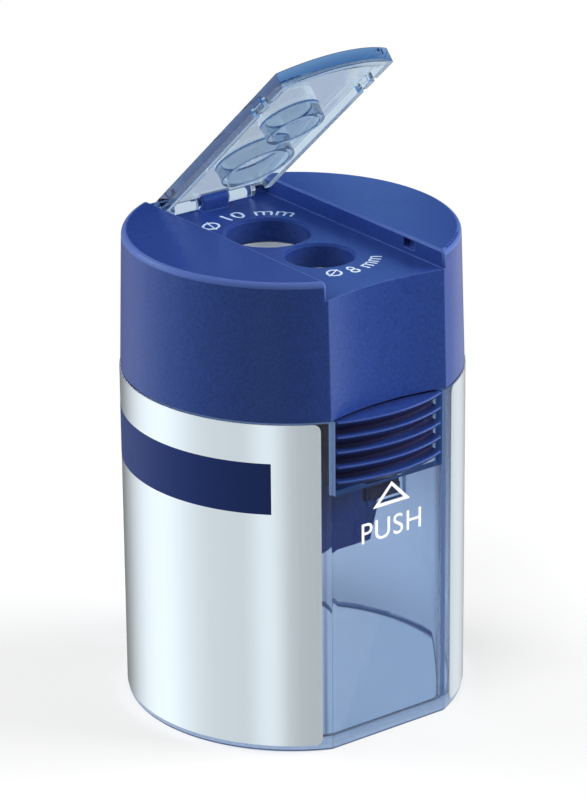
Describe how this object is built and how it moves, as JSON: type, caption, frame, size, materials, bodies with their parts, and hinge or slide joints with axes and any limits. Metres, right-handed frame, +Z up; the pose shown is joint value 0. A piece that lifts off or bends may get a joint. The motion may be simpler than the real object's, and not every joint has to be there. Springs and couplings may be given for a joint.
{
  "type": "tub pencil sharpener",
  "caption": "Manual pencil sharpener: blue head with pencil holes of two sizes and a flip-up clear lid, on a tinted clear tub with foil sides, freed by a ribbed press latch.",
  "frame": {"origin": "centre of the tub's base, on the surface that it stands on", "axes": "+Z up through the pencil holes, -Y towards the ribbed press pad at the front, +X to the right of someone who looks at that front"},
  "size_m": [0.0434, 0.0411, 0.0868],
  "materials": {
    "tinted_clear": "clear blue-tinted moulded plastic, polished",
    "lid_clear": "clear blue-tinted moulded plastic, polished",
    "foil": "satin silver foil",
    "blue_plastic": "dark blue moulded plastic with a fine grain",
    "magnesium": "milled light alloy",
    "blade_steel": "ground steel"
  },
  "bodies": {
    "tub_body": {"tub": "tinted_clear", "left_label": "foil", "right_label": "foil"},
    "head": {"head_shell": "blue_plastic", "insert_carrier": "blue_plastic", "sharpener_block": "magnesium", "large_blade": "blade_steel", "small_blade": "blade_steel", "blade_screws": "blade_steel"},
    "latch": {"press_latch": "blue_plastic"},
    "lid": {"lid": "lid_clear"}
  },
  "joints": [
    {"name": "head_lift", "type": "slide", "parent": "tub_body", "child": "head", "axis": [0, 0, 1], "range_m": [0, 0.045]},
    {"name": "latch_press", "type": "hinge", "parent": "head", "child": "latch", "pos_m": [0, -0.01483, 0.0464], "axis": [1, 0, 0], "range_deg": [0, 6], "stiffness_Nm_per_rad": 0.1},
    {"name": "lid_hinge", "type": "hinge", "parent": "head", "child": "lid", "pos_m": [0, 0.01698, 0.06085], "axis": [-1, 0, 0], "range_deg": [-42, 58]}
  ]
}
